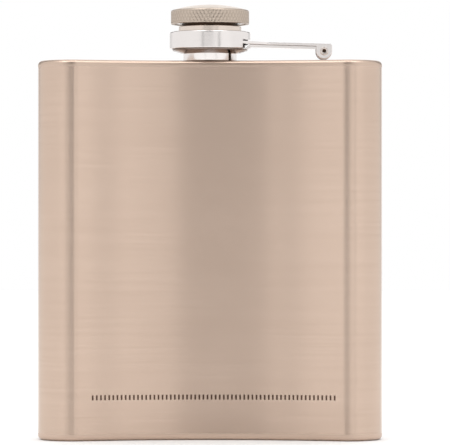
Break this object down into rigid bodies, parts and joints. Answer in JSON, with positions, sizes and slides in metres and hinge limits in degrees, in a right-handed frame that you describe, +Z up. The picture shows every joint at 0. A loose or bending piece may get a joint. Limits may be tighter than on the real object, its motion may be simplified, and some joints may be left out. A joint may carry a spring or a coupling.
{
  "type": "hip flask",
  "caption": "Curved pocket flask of rolled sheet steel with a knurled screw cap held by a hinged arm that turns on the neck.",
  "frame": {"origin": "foot of the neck's axis on the flat base", "axes": "+Z up along the neck, the hollow front faces -Y, the hinge of the cap's arm lies towards +X"},
  "size_m": [0.094, 0.0267, 0.1191],
  "materials": {
    "brushed_body": "satin brushed, warm champagne tone",
    "turned_steel": "fine turned",
    "polished_strip": "polished",
    "rivet_steel": "plain",
    "knurled_head": "diamond knurled, satin",
    "seal": "matte silicone"
  },
  "bodies": {
    "flask": {"body_shell": "brushed_body", "top_plate": "brushed_body", "bottom_plate": "brushed_body", "neck_spout": "turned_steel"},
    "neck_arm": {"neck_arm": "polished_strip"},
    "cap_arm": {"cap_arm": "polished_strip", "hinge_rivet": "rivet_steel"},
    "cap_clip": {"cap_clip": "turned_steel"},
    "cap": {"cap_barrel": "turned_steel", "cap_head": "knurled_head", "cap_seal": "seal"}
  },
  "joints": [
    {"name": "arm_swivel", "type": "hinge", "parent": "flask", "child": "neck_arm", "pos_m": [0, 0, 0.1045], "axis": [0, 0, 1], "continuous": true},
    {"name": "cap_swing", "type": "hinge", "parent": "neck_arm", "child": "cap_arm", "pos_m": [0.0313, 0, 0.1062], "axis": [0, 1, 0], "range_deg": [0, 180]},
    {"name": "cap_lift", "type": "slide", "parent": "cap_arm", "child": "cap_clip", "axis": [0, 0, 1], "range_m": [0, 0.003]},
    {"name": "cap_turn", "type": "hinge", "parent": "cap_clip", "child": "cap", "pos_m": [0, 0, 0.11], "axis": [0, 0, 1], "range_deg": [0, 540]}
  ],
  "couplings": [
    {"joint": "cap_lift", "follows": "cap_turn", "m_per_rad": 0.0003183}
  ]
}
